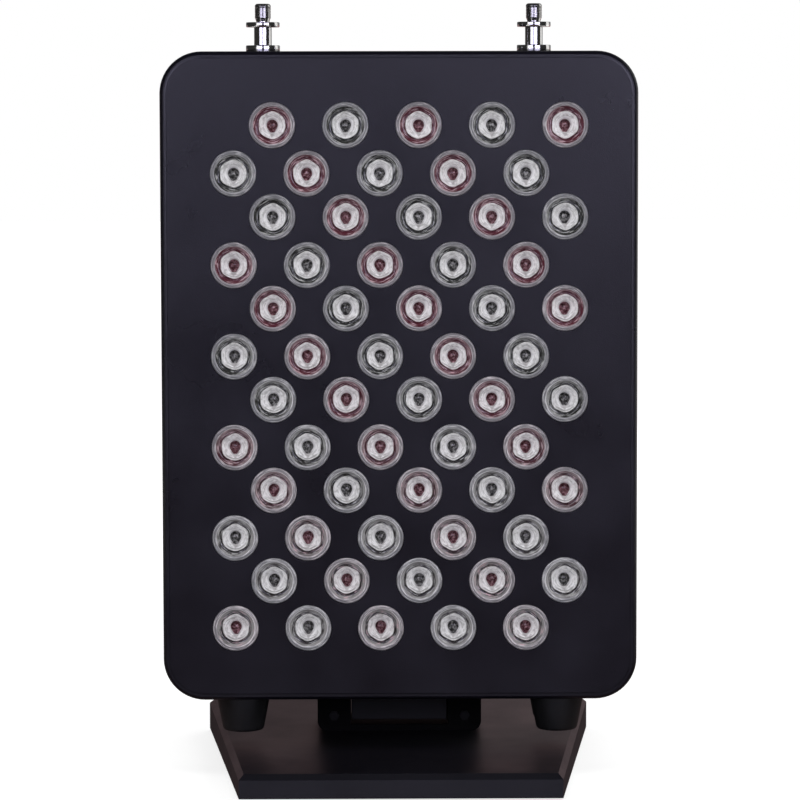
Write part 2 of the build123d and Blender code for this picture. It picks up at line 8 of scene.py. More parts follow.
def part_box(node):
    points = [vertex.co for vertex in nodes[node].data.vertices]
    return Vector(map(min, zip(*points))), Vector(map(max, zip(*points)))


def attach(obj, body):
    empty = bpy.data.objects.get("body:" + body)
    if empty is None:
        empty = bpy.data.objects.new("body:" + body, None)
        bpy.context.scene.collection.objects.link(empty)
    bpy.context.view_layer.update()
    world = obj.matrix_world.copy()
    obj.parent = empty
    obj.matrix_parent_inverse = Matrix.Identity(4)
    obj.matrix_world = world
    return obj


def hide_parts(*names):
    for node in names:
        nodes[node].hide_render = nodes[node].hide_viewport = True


# The dressed red light therapy panel. Metres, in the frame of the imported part.
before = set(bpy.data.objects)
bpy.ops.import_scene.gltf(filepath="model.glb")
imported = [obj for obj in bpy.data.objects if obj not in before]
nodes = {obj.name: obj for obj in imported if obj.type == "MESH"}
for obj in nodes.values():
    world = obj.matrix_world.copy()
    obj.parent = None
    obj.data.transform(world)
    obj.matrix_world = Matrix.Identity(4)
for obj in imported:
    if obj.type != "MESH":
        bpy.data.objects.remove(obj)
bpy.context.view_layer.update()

MM = 0.001
WHITE = (1, 1, 1)

# Camera, fitted to the outlines of the photograph
CAMERA_PLACE = (-0.0128, -1.771, 0.3303)
CAMERA_TURN = radians(0.4335)
CAMERA_PITCH = radians(4.79)
CAMERA_ROLL = radians(0.125)
CAMERA_LENS = 161.37
CAMERA_SENSOR = 36.0

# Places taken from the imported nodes
case_low, case_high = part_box("front_housing")
studs_low, studs_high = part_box("hanging_studs")
feet_low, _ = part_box("panel_feet")
face_y = case_low.y
case_mid = (case_low + case_high) / 2
studs_mid_y = (studs_low.y + studs_high.y) / 2

# Case
CASE_CORNER = 20 * MM
CASE_CORNER_STEPS = 14
CASE_WALL = 1.2 * MM
CASE_BEND = 3.0 * MM
CASE_BEND_STEPS = 8
CASE_FLAT = 1.0 * MM
CASE_SHARP = radians(32)
CUTTER_DEPTH = 6 * CASE_WALL
FACING = 0.99

# Lens field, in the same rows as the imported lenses
LENS_ROWS = 12
LENS_COLUMNS = 5
LENS_COLUMN_PITCH = 34.9 * MM
LENS_ROW_SHIFT = 9.3 * MM
LENS_PAIR_PITCH = 43.65 * MM
LENS_EVEN_DROP = 22.9 * MM
LENS_RADIUS = 11.0 * MM
LENS_HOLE_GAP = 0.12 * MM
LENS_STEPS = 48
HOLE_STEPS = 64
RED_FIRST_ROWS = (0, 3)

# Sections of one lens, as radius and depth behind the face in millimetres
LENS_RIM = [
    (10.9, 1.9), (11.0, 0.3), (10.85, -0.25), (10.5, -0.5), (10.25, -0.45), (10.15, -0.3),
    (10.05, -0.45), (9.8, -0.6), (9.55, -0.5), (9.4, -0.2),
]
LENS_STEP = [(9.4, -0.2), (9.25, 0.1), (9.1, 0.15), (8.95, 0.7)]
LENS_GROOVE = [
    (8.95, 0.7), (8.7, 1.5), (8.35, 2.3), (7.9, 2.9), (7.2, 3.1), (6.8, 2.9), (6.5, 2.3),
]
LENS_BOWL = [
    (6.5, 2.3), (6.35, 1.95), (6.1, 1.85), (5.85, 2.1), (5.7, 2.15), (5.35, 2.45), (4.9, 3.0),
    (4.4, 3.55), (4.2, 3.6), (3.5, 4.5), (3.0, 5.7), (2.65, 6.6),
]
LENS_EYE = [(2.65, 6.6), (2.5, 7.8), (2.1, 8.4), (1.7, 8.1), (1.2, 7.6), (0.6, 7.3), (0.0, 7.2)]
LENS_BACK = [(0.0, 11.35), (5.75, 11.35), (5.8, 11.2), (10.9, 1.9)]

# Lobes of the bowl, as shares of its radius, with an uneven wave that turns from lens to lens
LOBES = 6
LOBE_DEPTH = 0.021
UNEVEN_LOBES = 5
UNEVEN_SHARE = 0.7
LENS_TURN = radians(37)
LOBED_RADII = (4.9 * MM, 8.1 * MM)

# The eye is drawn out downwards to a drop
DROP_RADII = (1.9 * MM, 3.0 * MM)
DROP_DEPTH = 9 * MM
DROP_SHARE = 0.55
DROP_POWER = 5

# Hanging studs, as radius and height above their flange in millimetres
STUD_X = 65.5 * MM
STUD_ROOT = 7.0
STUD_BODY = [
    (0, -STUD_ROOT), (2.9, -STUD_ROOT), (2.9, -0.05), (7.8, -0.05), (8.1, 0.1), (8.2, 0.5),
    (8.2, 2.7), (8.1, 3.1), (7.8, 3.2), (4.5, 3.2), (4.25, 3.4), (4.25, 11.7), (4.4, 11.9),
    (7.7, 11.9), (8.0, 12.0), (8.1, 12.4), (8.1, 13.8), (8.0, 14.2), (7.7, 14.3), (3.4, 14.3),
    (3.2, 14.45), (3.25, 14.9), (3.75, 16.2),
]
STUD_TIP = [(3.9, 21.7), (3.82, 22.3), (3.6, 22.75), (3.2, 23.08), (2.7, 23.2), (0, 23.2)]
STUD_STEPS = 64
THREAD_BASE = 16.2
THREAD_PITCH = 0.75
THREAD_RINGS = 7
THREAD_PROFILE = [(3.72, 0.1), (3.9, 0.3), (3.9, 0.45), (3.72, 0.65)]

# Rubber feet, as radius and height above their sole in millimetres
FOOT_X = 76.25 * MM
FOOT_SETBACKS = (18 * MM, 50 * MM)
FOOT_OUTLINE = [
    (0, 3.0), (3.6, 3.0), (3.6, 0.4), (4.0, 0), (8.4, 0), (9.2, 0.2), (9.75, 0.7), (10.1, 1.6),
    (12.7, 15.2), (12.9, 16.4), (12.9, 17.0), (0, 17.0),
]
FOOT_STEPS = 56

# Screw heads, as shares of the head's radius and height, and the places of the screws
HEAD_SHARES = [
    (0.96, 0), (1, 0.1), (1, 0.3), (0.9, 0.66), (0.7, 0.94), (0.56, 1), (0.52, 0.96), (0.50, 0.35),
    (0, 0.3),
]
HEAD_STEPS = 36
SOCKET_SHARES = (0.4, 0.53)
SOCKET_SIDE = radians(60)
ARM_PLATE_Y = 8 * MM
COVER_Y = 4 * MM
ARM_SCREWS = [(side * 37.5 * MM, level * MM) for side in (-1, 1) for level in (61, 101)]
COVER_SCREWS = [
    (side * 108 * MM, case_mid.z + level * 112 * MM) for side in (-1, 1) for level in (-1, 0, 1)
]
FAN_X = 48 * MM
FAN_Z = 267.9 * MM
FAN_SCREW_OFFSET = 35.75 * MM
FAN_SCREWS = [
    (side * FAN_X + end * FAN_SCREW_OFFSET, FAN_Z + level * FAN_SCREW_OFFSET)
    for side in (-1, 1)
    for end in (-1, 1)
    for level in (-1, 1)
]

# Shading and merging of pieces
TURNED_SHARP = radians(28)
FOOT_SHARP = radians(35)
LENS_SHARP = radians(50)
EASE_ANGLE = radians(35)
FLAT_ANGLE = radians(1)
FACE_WEIGHT = 100
MERGE = 1e-6
FINE_MERGE = 1e-7
NODE_MERGE = 2e-6


def linked(name, data):
    """A new object in the scene."""
    thing = bpy.data.objects.new(name, data)
    bpy.context.scene.collection.objects.link(thing)
    return thing


def mesh_of(name, bm):
    """A mesh from a bmesh, which is freed."""
    mesh = bpy.data.meshes.new(name)
    bm.to_mesh(mesh)
    bm.free()
    return mesh


def turned(bm, outline, centre, axis, steps, slot=0):
    """Turn an outline of (radius, height) pairs once round an axis that is upright or runs along Y,
    with one material slot."""
    along = Vector(axis)
    out = Vector((1, 0, 0))
    old = set(bm.faces)
    start = Vector(centre)
    chain = [bm.verts.new(start + out * radius + along * height) for radius, height in outline]
    edges = [bm.edges.new(pair) for pair in zip(chain, chain[1:])]
    bmesh.ops.spin(
        bm,
        geom=edges + chain,
        cent=centre,
        axis=along,
        dvec=(0, 0, 0),
        angle=2 * pi,
        steps=steps,
        use_merge=True,
        use_duplicate=False,
    )
    made = [face for face in bm.faces if face not in old]
    for face in made:
        face.material_index = slot
    return made


def in_metres(outline):
    """An outline's pairs of millimetres as metres."""
    return [(radius * MM, height * MM) for radius, height in outline]


def close_up(bm, distance=FINE_MERGE):
    """Merge doubled points and turn the faces outwards."""
    bmesh.ops.remove_doubles(bm, verts=bm.verts, dist=distance)
    bmesh.ops.recalc_face_normals(bm, faces=bm.faces)


def smooth(piece, sharp):
    """Shade smoothly, with sharp edges above an angle."""
    for polygon in piece.data.polygons:
        polygon.use_smooth = True
    piece.data.set_sharp_from_angle(angle=sharp)


def finished(name, bm, body, materials, sharp, stands_for=()):
    """Make an object from a bmesh and give it its body, finish and nodes."""
    piece = linked(name, mesh_of(name, bm))
    for material in materials:
        piece.data.materials.append(material)
    smooth(piece, sharp)
    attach(piece, body)
    if stands_for:
        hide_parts(*stands_for)
    return piece


def keep_flat(piece, keep_sharp=False):
    """Let the large faces set the normals, so that they stay flat beside their bends."""
    flat = piece.modifiers.new("flat sides", "WEIGHTED_NORMAL")
    flat.mode = "FACE_AREA"
    flat.weight = FACE_WEIGHT
    flat.keep_sharp = keep_sharp


def apply_modifiers(piece):
    """Replace a piece's mesh by its mesh with the modifiers applied."""
    depsgraph = bpy.context.evaluated_depsgraph_get()
    depsgraph.update()
    done = bpy.data.meshes.new_from_object(piece.evaluated_get(depsgraph))
    piece.modifiers.clear()
    piece.data = done


# Steps of a material's node tree. Most values of a noise lie in its range.
NOISE_RANGE = (0.3, 0.7)
GLOSS_SHARES = (0.7, 1.5)


def finish(name, colour, roughness, metallic=0.0, specular=0.5):
    """A principled material, its node tree and its shader."""
    material = bpy.data.materials.new(name)
    material.use_nodes = True
    tree = material.node_tree
    shader = tree.nodes["Principled BSDF"]
    shader.inputs["Base Color"].default_value = (*colour, 1)
    shader.inputs["Roughness"].default_value = roughness
    shader.inputs["Metallic"].default_value = metallic
    shader.inputs["Specular IOR Level"].default_value = specular
    material.diffuse_color = (*colour, 1)
    return material, tree, shader


def scaled(values, factor):
    """A colour or a pair of values, scaled by a factor."""
    return tuple(value * factor for value in values)


def noise(tree, scale, detail=3.0, rough=0.55, stretch=(1, 1, 1)):
    """Noise on object coordinates."""
    coordinates = tree.nodes.new("ShaderNodeTexCoord")
    mapping = tree.nodes.new("ShaderNodeMapping")
    mapping.inputs["Scale"].default_value = stretch
    texture = tree.nodes.new("ShaderNodeTexNoise")
    texture.inputs["Scale"].default_value = scale
    texture.inputs["Detail"].default_value = detail
    texture.inputs["Roughness"].default_value = rough
    tree.links.new(coordinates.outputs["Object"], mapping.inputs["Vector"])
    tree.links.new(mapping.outputs["Vector"], texture.inputs["Vector"])
    return texture.outputs["Fac"]


def ramp(tree, value, stops):
    """A colour ramp of (position, colour) stops."""
    node = tree.nodes.new("ShaderNodeValToRGB")
    elements = node.color_ramp.elements
    while len(elements) < len(stops):
        elements.new(stops[0][0])
    for element, (place, colour) in zip(elements, stops):
        element.position = place
        element.color = (*colour, 1)
    tree.links.new(value, node.inputs["Fac"])
    return node.outputs["Color"]


def between(tree, value, low, high, first=0.0, last=1.0, easing="SMOOTHSTEP"):
    """A step from first to last while a value goes from low to high. Its ends are soft, or sharp
    with a linear easing."""
    node = tree.nodes.new("ShaderNodeMapRange")
    node.interpolation_type = easing
    node.inputs["From Min"].default_value = low
    node.inputs["From Max"].default_value = high
    node.inputs["To Min"].default_value = first
    node.inputs["To Max"].default_value = last
    tree.links.new(value, node.inputs["Value"])
    return node.outputs["Result"]


def mathed(tree, operation, first, second=None):
    """One step of arithmetic on sockets or numbers."""
    node = tree.nodes.new("ShaderNodeMath")
    node.operation = operation
    for place, value in enumerate((first, second)):
        if isinstance(value, (int, float)):
            node.inputs[place].default_value = value
        elif value is not None:
            tree.links.new(value, node.inputs[place])
    return node.outputs["Value"]


def plus(tree, first, second):
    """A sum of sockets or numbers."""
    return mathed(tree, "ADD", first, second)


def times(tree, first, second):
    """A product of sockets or numbers."""
    return mathed(tree, "MULTIPLY", first, second)


def blended(tree, amount, first, second):
    """A mix of two colours, each a colour or a socket."""
    node = tree.nodes.new("ShaderNodeMix")
    node.data_type = "RGBA"
    for socket, value in ((node.inputs[6], first), (node.inputs[7], second)):
        if isinstance(value, tuple):
            socket.default_value = (*value, 1)
        else:
            tree.links.new(value, socket)
    tree.links.new(amount, node.inputs[0])
    return node.outputs[2]


def bump(tree, shader, height, strength, distance):
    """Bump from a height value."""
    node = tree.nodes.new("ShaderNodeBump")
    node.inputs["Strength"].default_value = strength
    node.inputs["Distance"].default_value = distance
    tree.links.new(height, node.inputs["Height"])
    tree.links.new(node.outputs["Normal"], shader.inputs["Normal"])


def mottled(tree, shader, patches, colour, dark, pale):
    """Vary the colour with a noise, from a dark share of it to a pale one."""
    shades = (scaled(colour, dark), scaled(colour, pale))
    tree.links.new(ramp(tree, patches, list(zip(NOISE_RANGE, shades))), shader.inputs["Base Color"])


def uneven_gloss(tree, shader, patches, low, high, easing="LINEAR"):
    """Vary the roughness with a noise."""
    gloss = between(tree, patches, *NOISE_RANGE, low, high, easing)
    tree.links.new(gloss, shader.inputs["Roughness"])


# Plain finishes
def powder_coat(name, colour, roughness, specular):
    """Fine grained satin coat with faint mottling."""
    material, tree, shader = finish(name, colour, roughness, specular=specular)
    patches = noise(tree, scale=22, detail=4)
    mottled(tree, shader, patches, colour, dark=0.9, pale=1.1)
    uneven_gloss(tree, shader, patches, low=roughness - 0.05, high=roughness + 0.06)
    bump(tree, shader, noise(tree, scale=2600, detail=2), strength=0.35, distance=0.12 * MM)
    return material


def moulded(name, colour, roughness=0.45, grain_scale=1500, grain=0.2, specular=0.5):
    """Moulded plastic or rubber with a fine texture."""
    material, tree, shader = finish(name, colour, roughness, specular=specular)
    patches = noise(tree, scale=60, detail=3)
    mottled(tree, shader, patches, colour, dark=0.85, pale=1.15)
    uneven_gloss(tree, shader, patches, low=roughness - 0.06, high=roughness + 0.08)
    bump(tree, shader, noise(tree, grain_scale, detail=2), strength=grain, distance=0.1 * MM)
    return material


def machined(name, colour, roughness, stretch=(1, 1, 1), scale=900):
    """Bare metal with a fine grain, which a stretch draws out to lines."""
    material, tree, shader = finish(name, colour, roughness, metallic=1.0)
    lines = noise(tree, scale, detail=2, stretch=stretch)
    uneven_gloss(tree, shader, lines, *scaled(GLOSS_SHARES, roughness))
    mottled(tree, shader, noise(tree, scale=70, detail=3), colour, dark=0.88, pale=1)
    bump(tree, shader, lines, strength=0.12, distance=0.04 * MM)
    return material


TURNED_LINES = (1, 1, 12)
EXTRUDED_LINES = (20, 20, 1)
case_coat = powder_coat("case_coat", (0.0034, 0.0029, 0.0068), roughness=0.31, specular=0.5)
base_coat = powder_coat("base_coat", (0.0066, 0.0062, 0.0094), roughness=0.41, specular=0.42)
yoke_coat = powder_coat("yoke_coat", (0.0035, 0.0035, 0.0038), roughness=0.68, specular=0.06)
arm_coat = powder_coat("arm_coat", (0.0085, 0.0085, 0.0105), roughness=0.45, specular=0.25)
foot_rubber = moulded(
    "foot_rubber", (0.0075, 0.0075, 0.0085), roughness=0.42, grain_scale=1800, grain=0.15, specular=0.4
)
pad_rubber = moulded("pad_rubber", (0.02, 0.02, 0.022), roughness=0.7)
polished_stainless = machined(
    "polished_stainless", (0.80, 0.79, 0.77), roughness=0.10, stretch=TURNED_LINES
)
zinc_plate = machined("zinc_plate", (0.62, 0.62, 0.60), roughness=0.3, scale=400)
blackened_screw = moulded(
    "blackened_screw", (0.0035, 0.0035, 0.004), roughness=0.5, grain_scale=900, grain=0.1, specular=0.2
)
dull_stainless = machined(
    "dull_stainless", (0.60, 0.59, 0.57), roughness=0.20, stretch=TURNED_LINES
)
black_oxide = machined("black_oxide", (0.06, 0.06, 0.065), roughness=0.35, scale=400)
bare_aluminium = machined(
    "bare_aluminium", (0.74, 0.75, 0.76), roughness=0.35, stretch=EXTRUDED_LINES, scale=500
)
plated_brass = machined("plated_brass", (0.78, 0.66, 0.40), roughness=0.25, scale=400)
lens_back = moulded("lens_back", (0.35, 0.35, 0.36), roughness=0.2)
white_mask = moulded("white_mask", (0.80, 0.80, 0.78), roughness=0.4)
black_moulding = moulded("black_moulding", (0.018, 0.018, 0.02), roughness=0.42)
fan_moulding = moulded("fan_moulding", (0.022, 0.022, 0.025), roughness=0.38)
driver_moulding = moulded("driver_moulding", (0.72, 0.72, 0.70), roughness=0.5)
nylon = moulded("nylon", (0.70, 0.68, 0.60), roughness=0.45)
rocker_gloss = moulded(
    "rocker_gloss", (0.016, 0.016, 0.018), roughness=0.18, grain_scale=300, grain=0.03
)

# Finishes of the lens fronts. Radii and places on a lens are shares of its radius, and heights
# are metres above the table. A pair of these says where a change starts and where it ends, and a
# pair of lights says from which amount to which it goes.
# Light, shade, glints and arcs of light on the lens fronts are painted into their colours.
LENS_MAP = "lens_front"
LENS_SPECULAR = 0.7
STREAK_SHIFT = 40.0
STREAK_RINGS = 16.0
STREAK_SCALE = 1.6
STREAK_DETAIL = 3.0

LIT_HEIGHTS = (0.345, 0.05)
LIT_SLOPES = (1.25, 0.55)
LIT_EVENLY = (0.40, 0.85)
LIT_SIDEWAYS = -6.0

RIM_STREAKS = (0.42, 0.66)
RIM_STREAK_LIGHT = (-0.15, 0.55)

GROUND_OUTER = (0.66, 0.80)
GROUND_LIGHT = 0.30
GROUND_OUTER_LIGHT = 0.95
GROUND_OUTER_LIFT = 0.25
GROUND_STREAKS = (0.42, 0.60)
GROUND_STREAK_LIGHT = (-0.20, 0.50)
GROUND_SHADE_BELOW = (-0.35, -0.58)
GROUND_SHADE_RADII = (0.74, 0.66)
GROUND_SHADE_HEIGHTS = (0.32, 0.22)
GROUND_SHADE = -0.55
GROUND_FULL = (0.0, 0.75)
# Painted light: below these heights the lens ground is painted greyer and paler.
GROUND_PALE_HEIGHTS = (0.21, 0.08)
GROUND_PALE_DARK = (0.036, 0.031, 0.033)
GROUND_PALE_LIT_COLOUR = (0.36, 0.35, 0.36)
# Painted light: arcs painted lighter than the lit colour.
GROUND_ARCS = (0.57, 0.65)
GROUND_ARC_SHARE = 0.8
GROUND_ARC_SHADE = 2.2

BOWL_WHITE = (0.95, 0.94, 0.965)
BOWL_FACETS = (0.36, 0.47, 0.60)
BOWL_FACET_SHADES = (0.62, 0.92)
# The grey arcs in the bowl are painted shade.
BOWL_GREY_STREAKS = (0.55, 0.43)
BOWL_GREY_STARTS = (0.33, 0.38)
BOWL_GREY_ENDS = (0.54, 0.48)
BOWL_GREY_SHARE = 0.65
BOWL_GREY_SHADE = 0.50
BOWL_PALE_RADII = (0.38, 0.32)
BOWL_PALE_SHARE = 0.75
# The dark line below the eye in the lower rows is painted shade.
BOWL_LINE_BELOW = (-0.25, -0.42)
BOWL_LINE_HEIGHTS = (0.31, 0.22)
BOWL_LINE_STARTS = (0.47, 0.495)
BOWL_LINE_ENDS = (0.545, 0.515)
BOWL_LINE_SHARE = 0.75
BOWL_LINE_SHADE = 0.28
BOWL_TAIL_SLANT = -0.75
BOWL_TAIL_SIDES = (0.42, 0.33)
BOWL_TAIL_BELOW = (-0.18, -0.24)
BOWL_TAIL_SHARE = 0.5
BOWL_TAIL_COLOUR = (0.20, 0.17, 0.18)
BOWL_EDGE_STREAKS = (0.50, 0.40)
BOWL_EDGE_RADII = (0.50, 0.60)
BOWL_EDGE_SHARE = 0.55
BOWL_EDGE_SHADE = 0.40

EYE_ROUGHNESS = 0.14
EYE_SPECULAR = 0.6
EYE_SCALE = 900
EYE_FLECKS = (0.34, 0.46, 0.58, 0.70)
EYE_DEEP = 0.5
EYE_GLINT = 1.7


def parts_of(tree, vector):
    """The X, Y and Z sockets of a vector."""
    node = tree.nodes.new("ShaderNodeSeparateXYZ")
    tree.links.new(vector, node.inputs["Vector"])
    return node.outputs


def vector_step(tree, operation, vector):
    """The sockets of one step of vector arithmetic."""
    node = tree.nodes.new("ShaderNodeVectorMath")
    node.operation = operation
    tree.links.new(vector, node.inputs[0])
    return node.outputs


def lens_map(tree):
    """Sockets by name: a place on a lens and on the panel, and streaks that run round the lens."""
    source = tree.nodes.new("ShaderNodeUVMap")
    source.uv_map = LENS_MAP
    centred = tree.nodes.new("ShaderNodeMapping")
    centred.inputs["Location"].default_value = (-1, -1, 0)
    centred.inputs["Scale"].default_value = (2, 2, 0)
    tree.links.new(source.outputs["UV"], centred.inputs["Vector"])
    place = centred.outputs["Vector"]
    local = parts_of(tree, place)
    radius = vector_step(tree, "LENGTH", place)["Value"]
    heading = parts_of(tree, vector_step(tree, "NORMALIZE", place)["Vector"])
    panel = parts_of(tree, tree.nodes.new("ShaderNodeTexCoord").outputs["Object"])
    ring = tree.nodes.new("ShaderNodeCombineXYZ")
    shifted_x = plus(tree, heading["X"], times(tree, panel["X"], STREAK_SHIFT))
    shifted_y = plus(tree, heading["Y"], times(tree, panel["Z"], STREAK_SHIFT))
    tree.links.new(shifted_x, ring.inputs["X"])
    tree.links.new(shifted_y, ring.inputs["Y"])
    tree.links.new(times(tree, radius, STREAK_RINGS), ring.inputs["Z"])
    streak = tree.nodes.new("ShaderNodeTexNoise")
    streak.inputs["Scale"].default_value = STREAK_SCALE
    streak.inputs["Detail"].default_value = STREAK_DETAIL
    tree.links.new(ring.outputs["Vector"], streak.inputs["Vector"])
    return {
        "radius": radius,
        "across": local["X"],
        "up": local["Y"],
        "panel_x": panel["X"],
        "height": panel["Z"],
        "streak": streak.outputs["Fac"],
    }


def lens_light(tree, lens):
    """How much of a lens lights up: more at its top and inner side, and more in the lower rows."""
    low = between(tree, lens["height"], *LIT_HEIGHTS)
    slope = between(tree, lens["height"], *LIT_HEIGHTS, *LIT_SLOPES)
    even = between(tree, lens["height"], *LIT_HEIGHTS, *LIT_EVENLY)
    rise = times(tree, low, plus(tree, times(tree, lens["up"], slope), even))
    side = times(tree, lens["across"], times(tree, lens["panel_x"], LIT_SIDEWAYS))
    return plus(tree, rise, side)


def lens_gloss(tree, shader, lens, roughness):
    """Vary the roughness of a lens with its streaks."""
    uneven_gloss(tree, shader, lens["streak"], *scaled(GLOSS_SHARES, roughness), "SMOOTHSTEP")


def clear_moulding(name, colour, bright, roughness, lift):
    """Clear rim of a lens, with rings of light in it."""
    material, tree, shader = finish(name, colour, roughness, specular=LENS_SPECULAR)
    lens = lens_map(tree)
    rings = between(tree, lens["streak"], *RIM_STREAKS, *RIM_STREAK_LIGHT)
    amount = between(tree, plus(tree, rings, times(tree, lens_light(tree, lens), lift)), 0.0, 1.0)
    tree.links.new(blended(tree, amount, colour, bright), shader.inputs["Base Color"])
    lens_gloss(tree, shader, lens, roughness)
    bump(tree, shader, noise(tree, scale=900, detail=2), strength=0.1, distance=0.1 * MM)
    return material


def lens_ground(name, dark, lit_colour, roughness):
    """Clear plastic over a coloured ground, part painted lit, with painted arcs of light and shade
    below.
    """
    material, tree, shader = finish(name, dark, roughness, specular=LENS_SPECULAR)
    lens = lens_map(tree)
    outer = between(tree, lens["radius"], *GROUND_OUTER)
    share = plus(tree, times(tree, outer, GROUND_OUTER_LIGHT), GROUND_LIGHT)
    amount = times(tree, lens_light(tree, lens), share)
    amount = plus(tree, amount, between(tree, lens["streak"], *GROUND_STREAKS, *GROUND_STREAK_LIGHT))
    amount = plus(tree, amount, times(tree, outer, GROUND_OUTER_LIFT))
    below = between(tree, lens["up"], *GROUND_SHADE_BELOW)
    below = times(tree, below, between(tree, lens["radius"], *GROUND_SHADE_RADII))
    below = times(tree, below, between(tree, lens["height"], *GROUND_SHADE_HEIGHTS))
    amount = plus(tree, amount, times(tree, below, GROUND_SHADE))
    # Painted light: in the lowest rows the ground and its lit colour are painted greyer and paler.
    pale = between(tree, lens["height"], *GROUND_PALE_HEIGHTS)
    ground = blended(
        tree,
        between(tree, amount, *GROUND_FULL),
        blended(tree, pale, dark, GROUND_PALE_DARK),
        blended(tree, pale, lit_colour, GROUND_PALE_LIT_COLOUR),
    )
    arcs = times(tree, between(tree, lens["streak"], *GROUND_ARCS), GROUND_ARC_SHARE)
    crossed = blended(tree, arcs, ground, scaled(lit_colour, GROUND_ARC_SHADE))
    tree.links.new(crossed, shader.inputs["Base Color"])
    lens_gloss(tree, shader, lens, roughness)
    bump(tree, shader, noise(tree, scale=600, detail=3), strength=0.4, distance=0.2 * MM)
    return material


def silver(name, colour):
    """Bright facets with painted grey arcs of shade and a paler ring round the eye. A tail hangs from
    the eye, the lower rows have a dark line of painted shade below it, and streaks paint shade on the
    edge."""
    material, tree, shader = finish(name, colour, roughness=0.3, metallic=0.15, specular=0.6)
    lens = lens_map(tree)
    cloud = noise(tree, scale=520, detail=5, rough=0.6)
    greys = [scaled(colour, factor) for factor in BOWL_FACET_SHADES]
    facets = ramp(tree, cloud, list(zip(BOWL_FACETS, [*greys, BOWL_WHITE])))
    # Painted shade: grey arcs in a band round the eye.
    grey = between(tree, lens["streak"], *BOWL_GREY_STREAKS)
    grey = times(tree, grey, between(tree, lens["radius"], *BOWL_GREY_STARTS))
    grey = times(tree, grey, between(tree, lens["radius"], *BOWL_GREY_ENDS))
    grey = times(tree, grey, BOWL_GREY_SHARE)
    look = blended(tree, grey, facets, scaled(colour, BOWL_GREY_SHADE))
    pale = times(tree, between(tree, lens["radius"], *BOWL_PALE_RADII), BOWL_PALE_SHARE)
    look = blended(tree, pale, look, BOWL_WHITE)
    # Painted shade: a dark line below the eye, only in the lower rows.
    below = between(tree, lens["up"], *BOWL_LINE_BELOW)
    below = times(tree, below, between(tree, lens["height"], *BOWL_LINE_HEIGHTS))
    line = between(tree, lens["radius"], *BOWL_LINE_STARTS)
    line = times(tree, line, between(tree, lens["radius"], *BOWL_LINE_ENDS))
    line = times(tree, times(tree, line, below), BOWL_LINE_SHARE)
    look = blended(tree, line, look, scaled(colour, BOWL_LINE_SHADE))
    slant = times(tree, lens["up"], BOWL_TAIL_SLANT)
    sides = plus(tree, mathed(tree, "ABSOLUTE", lens["across"]), slant)
    tail = between(tree, sides, *BOWL_TAIL_SIDES)
    tail = times(tree, tail, between(tree, lens["up"], *BOWL_TAIL_BELOW))
    look = blended(tree, times(tree, tail, BOWL_TAIL_SHARE), look, BOWL_TAIL_COLOUR)
    edge = between(tree, lens["streak"], *BOWL_EDGE_STREAKS)
    edge = times(tree, edge, between(tree, lens["radius"], *BOWL_EDGE_RADII))
    edge = times(tree, edge, BOWL_EDGE_SHARE)
    look = blended(tree, edge, look, scaled(colour, BOWL_EDGE_SHADE))
    tree.links.new(look, shader.inputs["Base Color"])
    bump(tree, shader, noise(tree, scale=1100, detail=3), strength=0.45, distance=0.2 * MM)
    return material


def flecked(name, dark, light):
    """Dark glossy emitter with dark flecks and light flecks in it, the light ones a painted glint."""
    material, tree, shader = finish(name, dark, EYE_ROUGHNESS, specular=EYE_SPECULAR)
    flecks = noise(tree, EYE_SCALE, detail=5, rough=0.65)
    colours = [scaled(dark, EYE_DEEP), dark, light, scaled(light, EYE_GLINT)]
    tree.links.new(ramp(tree, flecks, list(zip(EYE_FLECKS, colours))), shader.inputs["Base Color"])
    bump(tree, shader, noise(tree, 1.4 * EYE_SCALE, detail=3), strength=0.5, distance=0.2 * MM)
    return material


clear_rim = clear_moulding(
    "clear_rim", (0.205, 0.203, 0.225), (0.56, 0.55, 0.59), roughness=0.18, lift=0.35
)
pink_rim = clear_moulding(
    "pink_rim", (0.212, 0.200, 0.224), (0.585, 0.54, 0.585), roughness=0.18, lift=0.35
)
# The steps are painted lighter than the rims: a painted highlight on the thin ring inside each rim.
clear_step = clear_moulding(
    "clear_step", (0.33, 0.325, 0.355), (0.80, 0.78, 0.83), roughness=0.14, lift=0.8
)
pink_step = clear_moulding(
    "pink_step", (0.34, 0.315, 0.345), (0.82, 0.77, 0.82), roughness=0.14, lift=0.8
)
red_ground = lens_ground("red_ground", (0.100, 0.020, 0.033), (0.35, 0.24, 0.27), roughness=0.15)
dark_ground = lens_ground("dark_ground", (0.028, 0.029, 0.027), (0.31, 0.31, 0.315), roughness=0.15)
red_eye = flecked("red_eye", (0.155, 0.055, 0.068), (0.46, 0.27, 0.31))
dark_eye = flecked("dark_eye", (0.072, 0.070, 0.072), (0.42, 0.415, 0.42))
silver_bowl = silver("silver_bowl", (0.92, 0.91, 0.93))
pink_bowl = silver("pink_bowl", (0.93, 0.89, 0.92))
RED_LENS_FINISHES = [pink_rim, pink_step, red_ground, pink_bowl, red_eye, lens_back]
INFRARED_LENS_FINISHES = [clear_rim, clear_step, dark_ground, silver_bowl, dark_eye, lens_back]

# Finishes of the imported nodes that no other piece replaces
NODE_FINISHES = {
    "base_pads": pad_rubber,
    "ballast_plate": black_oxide,
    "yoke_screws": zinc_plate,
    "pinch_screws": blackened_screw,
    "hinge_pin": zinc_plate,
    "emitter_board": white_mask,
    "board_standoffs": zinc_plate,
    "heat_sink": bare_aluminium,
    "fan_frames": fan_moulding,
    "fan_rotor_left": fan_moulding,
    "fan_rotor_right": fan_moulding,
    "driver_left": driver_moulding,
    "driver_right": driver_moulding,
    "terminal_block": nylon,
    "inlet_pins": plated_brass,
    "stud_nuts": zinc_plate,
    "red_emitters": red_eye,
    "infrared_emitters": dark_eye,
}
for node, material in NODE_FINISHES.items():
    nodes[node].data.materials.clear()
    nodes[node].data.materials.append(material)


